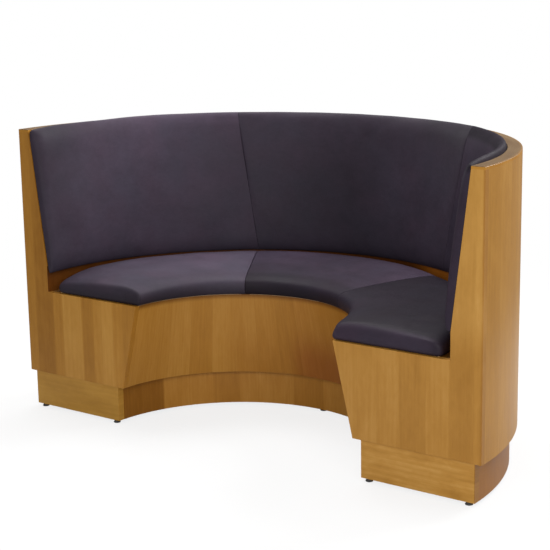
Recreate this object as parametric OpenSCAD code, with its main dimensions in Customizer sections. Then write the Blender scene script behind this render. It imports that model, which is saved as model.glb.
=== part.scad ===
// Half-circle upholstered banquette bench.
// Free-standing booth seat: veneered plywood case on a recessed plinth,
// three lift-out seat sections, a fixed upholstered back in three panels
// and seven screw-adjusted levelling feet.
// Millimetres, +Z up. The origin is on the floor, in the middle of the
// bounding box; the bench opens towards -Y. Left and right are as seen
// by someone who stands in the opening and looks at the bench (+X right).

/* [Case] */
// Outer radius of the half-circle case, half of its overall width
outer_r = 840; // [800:5:900]
// Height of the wooden rim above the floor
rim_h = 918; // [890:1:960]
// Width of the rim at the top of the end panels
rim_w = 41; // [38:1:46]
// Thickness of the rim strip
cap_t = 8; // [6:1:12]
// Thickness of the bent outer shell
shell_t = 12; // [9:1:14]
// Thickness of the flat end panels
panel_t = 18; // [15:1:22]

/* [Seat] */
// Height of the wooden seat deck above the floor
deck_h = 396; // [380:1:410]
// Thickness of the seat deck
deck_t = 12; // [9:1:15]
// Height of the crumb strip above the deck
strip_h = 78; // [70:1:85]
// Distance from the outer face to the crumb strip
strip_inset = 97; // [90:1:105]
// Distance from the outer face to the deck's front edge
deck_inset = 473; // [440:1:480]
// Distance from the outer face to the fascia's lower edge
fascia_inset = 408; // [380:1:415]
// Thickness of the bent plywood of fascia, crumb strip and back boards
ply_t = 9; // [6:1:10]

/* [Seat sections] */
// How far the covered seat section hangs over the deck's front edge
seat_overhang = 15; // [10:1:20]
// Gap between the seat sections and the crumb strip
seat_rear_gap = 29; // [28:1:34]
// Height of the covered front edge
seat_front_h = 47; // [40:1:52]
// Height of the covered rear edge
seat_rear_h = 75; // [50:1:76]
// Height of the crown above the deck
seat_crown_h = 81; // [60:1:82]
// Thickness of the plywood board in a seat section
seat_board_t = 12; // [9:1:15]
// Thickness of the vinyl cover
cover_t = 1.2; // [0.8:0.1:2]

/* [Back] */
// Thickness of the covered back at its lower edge
back_low_t = 24; // [18:1:26]
// Thickness of the covered back at its fullest
back_full_t = 36; // [30:1:40]
// How far the covered lower roll hangs in front of the crumb strip
back_hang = 12; // [4:1:14]
// Height of the padded top roll above the rim
back_rise = 15; // [8:1:20]
// Angle of the seams from the X axis at the seat, also the section size
seam_a = 60; // [60:1:60]
// How far a back seam leans outward between its lower and upper end, in degrees
seam_lean = 5; // [0:0.5:6]

/* [Plinth and feet] */
// Height of the case's underside above the floor
case_z = 122; // [110:1:130]
// Gap between the floor and the plinth with the feet screwed in
foot_gap = 10; // [10:1:12]
// Setback of the plinth behind the outer shell
plinth_out = 21; // [15:1:30]
// Setback of the plinth behind the fascia's lower edge
plinth_in = 26; // [20:1:32]
// Setback of the plinth behind the end panels
plinth_end = 4; // [2:1:10]
// Thickness of the plinth's end plates
plinth_t = 24; // [22:1:28]
// Radius of a foot's plastic pad
pad_r = 11; // [10:0.5:12]
// Radius of a foot's threaded stem
stem_r = 4; // [4:0.5:5]

/* [Hidden] */
$fn = 180;

wood = [0.64, 0.45, 0.23];
wood_light = [0.72, 0.55, 0.34];
wood_rim = [0.62, 0.55, 0.44];
plywood = [0.80, 0.69, 0.51];
vinyl = [0.25, 0.23, 0.27];
foam = [0.88, 0.84, 0.72];
steel = [0.70, 0.70, 0.72];
black_plastic = [0.10, 0.10, 0.11];

g = 0.3;                                   // glue gap between curved faces
big = 2 * outer_r + 400;

shell_ri = outer_r - shell_t;              // inner face of the shell
rim_ri = outer_r - rim_w;                  // inner edge of the rim
strip_r = outer_r - strip_inset;           // visible face of the crumb strip
deck_r = outer_r - deck_inset;             // front edge of the deck
fascia_r = outer_r - fascia_inset;         // lower edge of the fascia
kink_z = deck_h + strip_h;                 // where the back starts to slope
cap_z = rim_h - cap_t;
back_slope = (rim_ri - strip_r) / (rim_h - kink_z);
fascia_slope = (fascia_r - deck_r) / (deck_h - case_z);
ply_back = ply_t * sqrt(1 + back_slope * back_slope);      // across the cone, level
ply_fascia = ply_t * sqrt(1 + fascia_slope * fascia_slope);

function back_r(z) = strip_r + (z - kink_z) * back_slope;       // front of the back boards
function fascia_face(z) = deck_r + (deck_h - z) * fascia_slope; // front of the fascia
function fascia_in(z) = fascia_face(z) + ply_fascia;

seat_r0 = deck_r - seat_overhang;
seat_r1 = strip_r - seat_rear_gap;
board_z = deck_h + 0.2;                     // boards stand 0.2 mm clear of the deck
bottom_t = 12;
bottom_top = case_z + bottom_t;
rib_t = 18;
rib_a = [30, 60, 90, 120, 150];

plinth_ply = 12;
plinth_ri = fascia_r + plinth_in;          // inner visible face of the plinth
plinth_ro = outer_r - plinth_out;
foot_y = plinth_end + plinth_t / 2;        // feet under the middle of the end plates
foot_in = plinth_ri + 20;
foot_out = plinth_ro - 23;
foot_mid = plinth_ri + 24;
foot_side = plinth_ro - 29;
// the seven feet: [x, y] from the centre of the half circle
feet = [
    [foot_in, foot_y], [foot_out, foot_y],
    [foot_side * cos(60), foot_side * sin(60)],
    [0, foot_mid],
    [foot_side * cos(120), foot_side * sin(120)],
    [-foot_out, foot_y], [-foot_in, foot_y]
];
insert_r = 6;
insert_h = 20;
stem_top = 48;

peg_r = 5;
peg_a = 15;                                // pegs stand this far each side of a section's middle
peg_r0 = seat_r0 + 78;
peg_r1 = seat_r1 - 62;

// ---- 2D helpers -------------------------------------------------------
function unit(v) = v / norm(v);
function fillet(A, P, B, r, n) = r <= 0 ? [P] :
    let(u = unit(A - P), v = unit(B - P), th = acos(u * v) / 2,
        c = P + unit(u + v) * r / sin(th),
        t1 = P + u * r / tan(th) - c, t2 = P + v * r / tan(th) - c,
        a1 = atan2(t1[1], t1[0]), a2 = atan2(t2[1], t2[0]),
        da = ((a2 - a1 + 540) % 360) - 180)
    [for (i = [0:n]) c + r * [cos(a1 + da * i / n), sin(a1 + da * i / n)]];
function round_poly(p, r, n = 5) = let(m = len(p))
    [for (i = [0:m - 1]) each fillet(p[(i + m - 1) % m], p[i], p[(i + 1) % m], r[i], n)];

// ---- 3D helpers: everything below is drawn about the half circle's centre ----
module at_origin() translate([0, -outer_r / 2, 0]) children();

module arc(a0, a1) rotate([0, 0, a0]) rotate_extrude(angle = a1 - a0, start = 0) children();

module ring(r0, r1, z0, z1) arc(0, 180) translate([r0, z0]) square([r1 - r0, z1 - z0]);

// all that lies nearer to the opening than y = t
module front_space(t) translate([-big, t - big, -50]) cube([2 * big, big, rim_h + 200]);

// a plane that holds the radius at angle a and leans by k; the cube fills the side of larger angles
module leaning_space(a, k, off = 0, flip = false)
    rotate([0, 0, a]) translate([0, 0, kink_z]) rotate([k, 0, 0])
        translate([-big, flip ? -big - off : off, -big]) cube([2 * big, big, 2 * big]);

module radial_plate(a, t) rotate([0, 0, a]) translate([0, t / 2, 0]) rotate([90, 0, 0])
    linear_extrude(t) children();

// ---- profiles in (radius, height) --------------------------------------
lean_deg = atan(2 * back_r((kink_z + rim_h) / 2) * sin(seam_lean / 2) / (rim_h - kink_z));

function seat_poly(k) = round_poly([
    [seat_r0 + k, deck_h + 0.4],
    [seat_r1 - k, deck_h + 0.4],
    [seat_r1 - k, deck_h + seat_rear_h - k],
    [(seat_r0 + seat_r1) / 2 + 60, deck_h + seat_crown_h - k],
    [(seat_r0 + seat_r1) / 2 - 90, deck_h + seat_crown_h - 10 - k],
    [seat_r0 + k, deck_h + seat_front_h - k]],
    [0, 0, 13 - k, 0, 0, 20 - k]);

back_z0 = kink_z + 1;
back_z1 = rim_h + back_rise;
roll_r = rim_ri - 2.2;                     // rear of the padded top roll, clear of the rim
neck_z = cap_z - 2;                        // below this the padding stands against the board
function back_poly(k, open = 0) = round_poly([
    [back_r(back_z0) - g + open, back_z0 + k],
    [strip_r - 1.2 - k, back_z0 + k],
    [strip_r - 1.2 - k, back_z0 - back_hang + k],
    [strip_r - back_low_t + k, back_z0 - back_hang + k],
    [back_r(kink_z + 90) - back_low_t - 8 + k, kink_z + 90],
    [back_r(kink_z + 220) - back_full_t + k, kink_z + 220],
    [back_r(kink_z + 370) - back_full_t + k, kink_z + 370],
    [back_r(rim_h) - back_full_t + 3 + k, back_z1 - k],
    [roll_r - k, back_z1 - k],
    [roll_r - k, neck_z],
    [back_r(neck_z) - g + open, neck_z]],
    [0, 0, 3 - k, 10 - k, 0, 0, 0, 17 - k, 9 - k, 0, 0]);
// the cover of the middle back panel in section: open at the rear, under the roll's rear edge
function back_cover_poly() = let(o = back_poly(0), i = back_poly(cover_t), m = len(o))
    concat([for (j = [0:m - 2]) o[j]], [for (j = [m - 2:-1:0]) i[j]]);

// ---- case ----------------------------------------------------------------
module panel_outline() polygon([
    [fascia_r, case_z], [outer_r + 5, case_z], [outer_r + 5, cap_z],
    [back_r(cap_z), cap_z], [strip_r, kink_z], [strip_r, deck_h], [deck_r, deck_h]]);

dowel_r = 4;
dowel_x = [outer_r * 0.62, outer_r * 0.86];
module dowel_rods(extra) for (x = dowel_x, z = [case_z + bottom_t / 2, deck_h - deck_t / 2])
    translate([x, 8 - extra, z]) rotate([-90, 0, 0]) cylinder(r = dowel_r + (extra > 0 ? 0.05 : 0), h = 30 + 2 * extra);

module end_panel() difference() {
    intersection() {
        translate([0, panel_t, 0]) rotate([90, 0, 0]) linear_extrude(panel_t) panel_outline();
        cylinder(r = outer_r, h = rim_h);
    }
    dowel_rods(0.5);
}

module end_panel_right() color(wood_light) at_origin() end_panel();
module end_panel_left() color(wood_light) at_origin() mirror([1, 0, 0]) end_panel();

module outer_shell() color(wood) at_origin() difference() {
    ring(shell_ri, outer_r, case_z, cap_z);
    front_space(panel_t + 0.1);
}

module seat_fascia() color(wood) at_origin() difference() {
    arc(0, 180) polygon([
        [fascia_face(deck_h), deck_h], [fascia_in(deck_h), deck_h],
        [fascia_in(case_z), case_z], [fascia_face(case_z), case_z]]);
    front_space(panel_t + 0.1);
}

module crumb_strip() color(wood) at_origin() difference() {
    ring(strip_r, strip_r + ply_t, deck_h - deck_t, kink_z);
    front_space(panel_t + 0.1);
}

module top_cap() color(wood_rim) at_origin() arc(0, 180) polygon(round_poly(
    [[rim_ri - 1, cap_z], [outer_r, cap_z], [outer_r, rim_h], [rim_ri - 1, rim_h]],
    [0, 0, 2, 1.5], 4));

module peg_holes(r, z0, z1) for (a = [30, 90, 150], s = [-1, 1], rr = [peg_r0, peg_r1])
    rotate([0, 0, a + s * peg_a]) translate([rr, 0, z0]) cylinder(r = r, h = z1 - z0, $fn = 48);

module seat_deck() color(plywood) at_origin() difference() {
    ring(fascia_in(deck_h - deck_t) + g, strip_r - g, deck_h - deck_t, deck_h);
    front_space(panel_t + 0.1);
    peg_holes(peg_r + 0.6, deck_h - deck_t - 1, deck_h + 1);
    dowel_rods(0.5);
    mirror([1, 0, 0]) dowel_rods(0.5);
}

screw_spots = [
    for (x = [-1, 1], r = [0.65, 0.88]) [x * outer_r * r, panel_t + 5.5],
    for (a = [60, 90, 120], r = [0.66, 0.86]) [outer_r * r * cos(a), outer_r * r * sin(a)]
];
module wood_screw(l) {
    translate([0, 0, -3]) cylinder(r1 = 2, r2 = 4.2, h = 3, $fn = 32);
    translate([0, 0, -l]) cylinder(r = 2, h = l - 2.9, $fn = 32);
}
module wood_screw_hole(l) {
    translate([0, 0, -3]) cylinder(r1 = 2.05, r2 = 4.25, h = 3.01, $fn = 32);
    translate([0, 0, -l - 1]) cylinder(r = 2.05, h = l + 1, $fn = 32);
}
module plinth_screw_holes() for (p = screw_spots) translate([p[0], p[1], bottom_top]) wood_screw_hole(45);

module case_bottom() color(plywood) at_origin() difference() {
    ring(fascia_in(case_z) + g, shell_ri - g, case_z, bottom_top);
    front_space(panel_t + 0.1);
    dowel_rods(0.5);
    mirror([1, 0, 0]) dowel_rods(0.5);
    plinth_screw_holes();
}

// screws through the back boards into the ribs, square to the board
back_screw_z = [kink_z + 70, kink_z + 330];
back_deg = atan(back_slope);
back_screw_da = 0.45;                      // two rows of screws where two boards meet on one rib
function screw_rows(a) = a == 60 || a == 120 ? [a - back_screw_da, a + back_screw_da] : [a];
module back_screw_place(a) for (b = screw_rows(a), z = back_screw_z) rotate([0, 0, b])
    translate([back_r(z), 0, z]) rotate([0, -90 + back_deg, 0]) children();

module rib(a) difference() {
    radial_plate(a, rib_t) difference() {
        polygon([
            [fascia_in(bottom_top) + g + 0.3, bottom_top + 0.1],
            [shell_ri - g - 0.2, bottom_top + 0.1],
            [shell_ri - g - 0.2, cap_z - 0.1],
            [back_r(cap_z) + ply_back + g, cap_z - 0.1],
            [back_r(kink_z) + ply_back + g, kink_z],
            [strip_r + ply_t + g + 0.1, deck_h - deck_t - 0.1],
            [fascia_in(deck_h - deck_t) + g + 0.3, deck_h - deck_t - 0.1]]);
        for (r = [0.63, 0.82]) translate([outer_r * r, (bottom_top + deck_h - deck_t) / 2]) circle(r = 58);
    }
    back_screw_place(a) wood_screw_hole(34);
}

module frame_rib_1() color(plywood) at_origin() rib(rib_a[0]);
module frame_rib_2() color(plywood) at_origin() rib(rib_a[1]);
module frame_rib_3() color(plywood) at_origin() rib(rib_a[2]);
module frame_rib_4() color(plywood) at_origin() rib(rib_a[3]);
module frame_rib_5() color(plywood) at_origin() rib(rib_a[4]);

// curved ledgers under the deck's front edge, one between each pair of ribs
module deck_ledgers() color(plywood) at_origin() difference() {
    for (i = [0:5]) arc(30 * i + 1.7, 30 * i + 28.3) polygon([
        [fascia_in(deck_h - deck_t) + g + 0.2, deck_h - deck_t - 0.1],
        [fascia_in(deck_h - deck_t) + 30, deck_h - deck_t - 0.1],
        [fascia_in(deck_h - deck_t) + 30, deck_h - deck_t - 25],
        [fascia_in(deck_h - deck_t - 25) + g + 0.2, deck_h - deck_t - 25]]);
    front_space(panel_t + 0.2);
}

// ---- plinth ---------------------------------------------------------------
module plinth_inner_face() color(wood) at_origin() difference() {
    ring(plinth_ri, plinth_ri + plinth_ply, foot_gap, case_z - 0.1);
    front_space(plinth_end + plinth_t + 0.1);
}

module plinth_outer_face() color(wood) at_origin() difference() {
    ring(plinth_ro - plinth_ply, plinth_ro, foot_gap, case_z - 0.1);
    front_space(plinth_end + plinth_t + 0.1);
}

module foot_bore(p) translate([p[0], p[1], 0]) {
    translate([0, 0, foot_gap - 1]) cylinder(r = insert_r, h = insert_h + 1, $fn = 48);
    translate([0, 0, foot_gap]) cylinder(r = stem_r + 0.8, h = stem_top - foot_gap + 4, $fn = 48);
}

module plinth_end() difference() {
    intersection() {
        translate([plinth_ri, plinth_end, foot_gap]) cube([plinth_ro - plinth_ri + 5, plinth_t, case_z - 0.1 - foot_gap]);
        cylinder(r = plinth_ro, h = case_z);
    }
    foot_bore(feet[0]);
    foot_bore(feet[1]);
    plinth_screw_holes();
}
module plinth_end_right() color(wood_light) at_origin() plinth_end();
module plinth_end_left() color(wood_light) at_origin() mirror([1, 0, 0]) plinth_end();

module foot_block(r, a, ri, ro) rotate([0, 0, a]) translate([0, 0, foot_gap])
    intersection() {
        translate([ri, -30, 0]) cube([ro - ri + 20, 60, 60]);
        difference() {
            translate([0, 0, -1]) cylinder(r = ro, h = 80);
            translate([0, 0, -2]) cylinder(r = ri, h = 90);
        }
    }

// blocks behind the inner face (one) and the outer face (two)
module foot_blocks() color(plywood) at_origin() difference() {
    union() {
        foot_block(foot_mid, 90, plinth_ri + plinth_ply + g, plinth_ri + plinth_ply + 40);
        for (a = [60, 120]) foot_block(foot_side, a, plinth_ro - plinth_ply - 40, plinth_ro - plinth_ply - g);
    }
    for (i = [2, 3, 4]) foot_bore(feet[i]);
}

// braces between the plinth faces; they stop at the foot blocks
module plinth_braces() color(plywood) at_origin() difference() {
    union() {
        for (a = [60, 120]) radial_plate(a, rib_t)
            translate([plinth_ri + plinth_ply + g, foot_gap]) square([plinth_ro - 2 * plinth_ply - plinth_ri - 40.5 - g, case_z - 0.1 - foot_gap]);
        radial_plate(90, rib_t)
            translate([plinth_ri + plinth_ply + 41, foot_gap]) square([plinth_ro - 2 * plinth_ply - plinth_ri - 41 - g - 0.1, case_z - 0.1 - foot_gap]);
    }
    plinth_screw_holes();
}

module foot_inserts() color(steel) at_origin() for (p = feet) translate([p[0], p[1], foot_gap])
    difference() {
        cylinder(r = insert_r - 0.05, h = insert_h, $fn = 48);
        translate([0, 0, -1]) cylinder(r = stem_r + 0.05, h = insert_h + 2, $fn = 48);
    }

// ---- small hardware -----------------------------------------------------
module end_dowels() color(wood_light) at_origin() {
    dowel_rods(0);
    mirror([1, 0, 0]) dowel_rods(0);
}

module plinth_screws() color(steel) at_origin() for (p = screw_spots)
    translate([p[0], p[1], bottom_top]) wood_screw(45);

module back_screws() color(steel) at_origin() for (a = rib_a)
    back_screw_place(a) wood_screw(34);

// ---- back -------------------------------------------------------------------
module back_board(a0, a1) difference() {
    arc(a0, a1) polygon([
        [back_r(kink_z + 0.3), kink_z + 0.3], [back_r(kink_z + 0.3) + ply_back, kink_z + 0.3],
        [back_r(cap_z - 0.1) + ply_back, cap_z - 0.1], [back_r(cap_z - 0.1), cap_z - 0.1]]);
    front_space(panel_t + 0.1);
    for (a = rib_a) back_screw_place(a) wood_screw_hole(34);
}
module back_board_right() color(plywood) at_origin() back_board(0, 60);
module back_board_centre() color(plywood) at_origin() back_board(60.02, 119.98);
module back_board_left() color(plywood) at_origin() back_board(120, 180);

back_end = 1.5;                            // covered ends of the back, just inside the end panels' face

// right panel ends at seam one, left panel is its mirror image
module back_foam_side() difference() {
    arc(0, seam_a + 2) polygon(back_poly(cover_t + 0.2));
    front_space(back_end + cover_t + 0.2);
    leaning_space(seam_a, lean_deg, -0.4);
}
module back_foam_right() color(foam) at_origin() back_foam_side();
module back_foam_left() color(foam) at_origin() mirror([1, 0, 0]) back_foam_side();
module back_foam_centre() color(foam) at_origin() difference() {
    arc(seam_a - 12, 180 - seam_a + 12) polygon(back_poly(cover_t + 0.2));
    leaning_space(seam_a, lean_deg, -0.4, true);
    leaning_space(180 - seam_a, -lean_deg, -0.4);
}

module back_cover_side() difference() {
    arc(0, seam_a + 2) polygon(back_poly(0));
    difference() {
        arc(0, seam_a + 4) polygon(back_poly(cover_t, 6));
        front_space(back_end + cover_t);
    }
    front_space(back_end);
    leaning_space(seam_a, lean_deg, -0.2);
}
module back_cover_right() color(vinyl) at_origin() back_cover_side();
module back_cover_left() color(vinyl) at_origin() mirror([1, 0, 0]) back_cover_side();
module back_cover_centre() color(vinyl) at_origin() difference() {
    arc(seam_a - 12, 180 - seam_a + 12) polygon(back_cover_poly());
    leaning_space(seam_a, lean_deg, -0.2, true);
    leaning_space(180 - seam_a, -lean_deg, -0.2);
}

// ---- seat sections ------------------------------------------------------
seat_end = 1.5;
board_in = 12;                             // the foam wraps this far round the boards' edges
seat_da = 0.05;                            // half the seam gap, in degrees

module seat_cut(a0, a1, k) {
    // what lies outside a section, k inside its covered sides
    if (a0 == 0) front_space(seat_end + k);
    else rotate([0, 0, a0 + seat_da]) translate([0, k - big, -50]) cube([big, big, rim_h]);
    if (a1 == 180) front_space(seat_end + k);
    else rotate([0, 0, a1 - seat_da]) translate([0, -k, -50]) cube([big, big, rim_h]);
}

module seat_board(a0, a1) difference() {
    arc(a0, a1) translate([seat_r0 + cover_t + board_in, board_z])
        square([seat_r1 - seat_r0 - 2 * cover_t - 2 * board_in, seat_board_t]);
    seat_cut(a0, a1, cover_t + board_in);
    peg_holes(peg_r + 0.05, board_z - 1, board_z + 8);
}
module seat_foam(a0, a1) difference() {
    arc(a0, a1) polygon(seat_poly(cover_t + 0.2));
    difference() {
        arc(a0, a1) translate([seat_r0 + cover_t + board_in - 0.1, board_z - 5])
            square([seat_r1 - seat_r0 - 2 * cover_t - 2 * board_in + 0.2, seat_board_t + 5.1]);
        seat_cut(a0, a1, cover_t + board_in - 0.1);
    }
    seat_cut(a0, a1, cover_t + 0.2);
}
module seat_cover(a0, a1) difference() {
    arc(a0, a1) polygon(seat_poly(0));
    difference() {
        arc(a0, a1) union() {
            polygon(seat_poly(cover_t));
            translate([seat_r0 + cover_t, board_z - 5]) square([seat_r1 - seat_r0 - 2 * cover_t, 10]);
        }
        seat_cut(a0, a1, cover_t);
    }
    seat_cut(a0, a1, 0);
}
module seat_pegs(a) for (s = [-1, 1], rr = [peg_r0, peg_r1])
    rotate([0, 0, a + s * peg_a]) translate([rr, 0, 0]) {
        translate([0, 0, deck_h - 14]) cylinder(r1 = peg_r - 1, r2 = peg_r, h = 2, $fn = 48);
        translate([0, 0, deck_h - 12]) cylinder(r = peg_r, h = 19.9, $fn = 48);
    }

module seat_board_right() color(plywood) at_origin() seat_board(0, 60);
module seat_board_centre() color(plywood) at_origin() seat_board(60, 120);
module seat_board_left() color(plywood) at_origin() seat_board(120, 180);
module seat_foam_right() color(foam) at_origin() seat_foam(0, 60);
module seat_foam_centre() color(foam) at_origin() seat_foam(60, 120);
module seat_foam_left() color(foam) at_origin() seat_foam(120, 180);
module seat_cover_right() color(vinyl) at_origin() seat_cover(0, 60);
module seat_cover_centre() color(vinyl) at_origin() seat_cover(60, 120);
module seat_cover_left() color(vinyl) at_origin() seat_cover(120, 180);
module seat_pegs_right() color(wood_light) at_origin() seat_pegs(30);
module seat_pegs_centre() color(wood_light) at_origin() seat_pegs(90);
module seat_pegs_left() color(wood_light) at_origin() seat_pegs(150);

// ---- levelling feet -----------------------------------------------------
pad_h = 6.5;
pin_r = 3;
module foot_pad(i) translate([feet[i][0], feet[i][1], 0]) difference() {
    rotate_extrude($fn = 96) polygon([
        [0, 0], [pad_r - 1, 0], [pad_r, 1], [pad_r, 2.6], [pad_r - 3.2, pad_h], [0, pad_h]]);
    translate([0, 0, 2]) cylinder(r = pin_r + 0.05, h = pad_h, $fn = 48);
}
module foot_stem(i) translate([feet[i][0], feet[i][1], 0]) union() {
    translate([0, 0, 2.2]) cylinder(r = pin_r, h = 5, $fn = 48);
    translate([0, 0, pad_h + 0.3]) cylinder(r = 6.9, h = foot_gap - pad_h - 0.5, $fn = 6);
    translate([0, 0, foot_gap - 0.3]) cylinder(r = stem_r, h = stem_top - 1 - foot_gap + 0.3, $fn = 48);
    translate([0, 0, stem_top - 1]) cylinder(r1 = stem_r, r2 = stem_r - 1, h = 1, $fn = 48);
}

module foot_pad_1() color(black_plastic) at_origin() foot_pad(0);
module foot_pad_2() color(black_plastic) at_origin() foot_pad(1);
module foot_pad_3() color(black_plastic) at_origin() foot_pad(2);
module foot_pad_4() color(black_plastic) at_origin() foot_pad(3);
module foot_pad_5() color(black_plastic) at_origin() foot_pad(4);
module foot_pad_6() color(black_plastic) at_origin() foot_pad(5);
module foot_pad_7() color(black_plastic) at_origin() foot_pad(6);
module foot_stem_1() color(steel) at_origin() foot_stem(0);
module foot_stem_2() color(steel) at_origin() foot_stem(1);
module foot_stem_3() color(steel) at_origin() foot_stem(2);
module foot_stem_4() color(steel) at_origin() foot_stem(3);
module foot_stem_5() color(steel) at_origin() foot_stem(4);
module foot_stem_6() color(steel) at_origin() foot_stem(5);
module foot_stem_7() color(steel) at_origin() foot_stem(6);

outer_shell();
end_panel_left();
end_panel_right();
seat_fascia();
crumb_strip();
top_cap();
seat_deck();
case_bottom();
frame_rib_1();
frame_rib_2();
frame_rib_3();
frame_rib_4();
frame_rib_5();
deck_ledgers();
plinth_inner_face();
plinth_outer_face();
plinth_end_left();
plinth_end_right();
plinth_braces();
foot_blocks();
foot_inserts();
end_dowels();
plinth_screws();
back_screws();
back_board_left();
back_board_centre();
back_board_right();
back_foam_left();
back_foam_centre();
back_foam_right();
back_cover_left();
back_cover_centre();
back_cover_right();
seat_board_left();
seat_board_centre();
seat_board_right();
seat_foam_left();
seat_foam_centre();
seat_foam_right();
seat_cover_left();
seat_cover_centre();
seat_cover_right();
seat_pegs_left();
seat_pegs_centre();
seat_pegs_right();
foot_pad_1();
foot_pad_2();
foot_pad_3();
foot_pad_4();
foot_pad_5();
foot_pad_6();
foot_pad_7();
foot_stem_1();
foot_stem_2();
foot_stem_3();
foot_stem_4();
foot_stem_5();
foot_stem_6();
foot_stem_7();
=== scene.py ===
import math

import bpy
import numpy as np
from mathutils import Matrix, Vector


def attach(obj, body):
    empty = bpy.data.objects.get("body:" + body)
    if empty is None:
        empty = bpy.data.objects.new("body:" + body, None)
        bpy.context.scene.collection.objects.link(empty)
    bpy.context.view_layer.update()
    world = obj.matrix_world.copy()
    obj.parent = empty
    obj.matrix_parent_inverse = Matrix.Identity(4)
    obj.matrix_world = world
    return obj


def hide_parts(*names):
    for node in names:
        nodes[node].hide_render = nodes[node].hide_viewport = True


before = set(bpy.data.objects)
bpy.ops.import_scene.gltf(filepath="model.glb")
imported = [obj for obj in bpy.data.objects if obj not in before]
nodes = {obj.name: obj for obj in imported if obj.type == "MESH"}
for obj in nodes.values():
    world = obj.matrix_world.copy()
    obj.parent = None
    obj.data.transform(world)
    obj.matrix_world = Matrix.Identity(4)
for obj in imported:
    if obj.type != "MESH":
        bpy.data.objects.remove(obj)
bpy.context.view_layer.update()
scene = bpy.context.scene

# The half circle's centre stands in front of the frame's origin. Metres from here on.
CY = -0.42
R_OUT = 0.84
KINK = 0.474
LEAN = math.tan(math.radians(8.69))          # lean of the two seams of the back


# ------------------------------------------------------------------ camera
def make_camera():
    cam = bpy.data.cameras.new("camera")
    obj = bpy.data.objects.new("camera", cam)
    scene.collection.objects.link(obj)
    yaw, pitch, roll = (math.radians(a) for a in (36.716, 12.407, -0.958))
    fwd = Vector((-math.sin(yaw) * math.cos(pitch), math.cos(yaw) * math.cos(pitch), -math.sin(pitch)))
    right = Vector((math.cos(yaw), math.sin(yaw), 0))
    up = right.cross(fwd)
    r = right * math.cos(roll) + up * math.sin(roll)
    u = -right * math.sin(roll) + up * math.cos(roll)
    m = Matrix((r, u, -fwd)).transposed().to_4x4()
    m.translation = Vector((2.6020, -3.6793, 1.4543))
    obj.matrix_world = m
    cam.sensor_width = 36
    cam.lens = 95.88
    cam.clip_start, cam.clip_end = 0.05, 400
    scene.camera = obj


make_camera()


# ------------------------------------------------------------------ node helpers
def srgb(r, g, b):
    out = []
    for v in (r, g, b):
        v /= 255
        out.append(v / 12.92 if v <= 0.04045 else ((v + 0.055) / 1.055) ** 2.4)
    return (*out, 1.0)


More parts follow.
